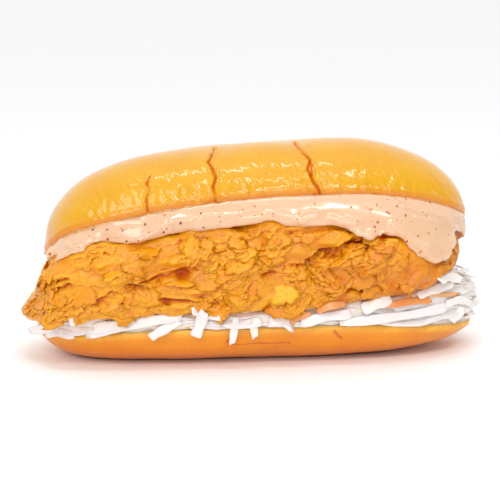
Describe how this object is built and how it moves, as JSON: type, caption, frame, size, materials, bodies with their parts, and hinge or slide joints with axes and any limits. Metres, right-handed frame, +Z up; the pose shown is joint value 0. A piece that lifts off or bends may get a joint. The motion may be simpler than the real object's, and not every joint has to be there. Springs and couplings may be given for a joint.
{
  "type": "chicken hot dog",
  "caption": "Soft hot dog bun in two halves, filled with shredded cabbage and carrot, a flaky fried chicken fillet and a thick pink dressing.",
  "frame": {"origin": "middle of the flat underside the bun lies on", "axes": "+Z up, +X along the bun to the right as pictured, -Y out of the open front that shows the filling"},
  "size_m": [0.1755, 0.0795, 0.082],
  "materials": {
    "bun_bottom": "soft baked crust, satin, orange-brown",
    "slaw": "moist raw cabbage, white, with carrot",
    "chicken": "flaky fried crust, golden orange",
    "sauce": "thick pink-cream dressing, wet gloss",
    "bun_top": "egg-washed crust, glossy, golden yellow"
  },
  "bodies": {
    "root": {"bun_bottom": "bun_bottom", "slaw": "slaw", "chicken": "chicken", "sauce": "sauce", "bun_top": "bun_top"}
  },
  "joints": []
}
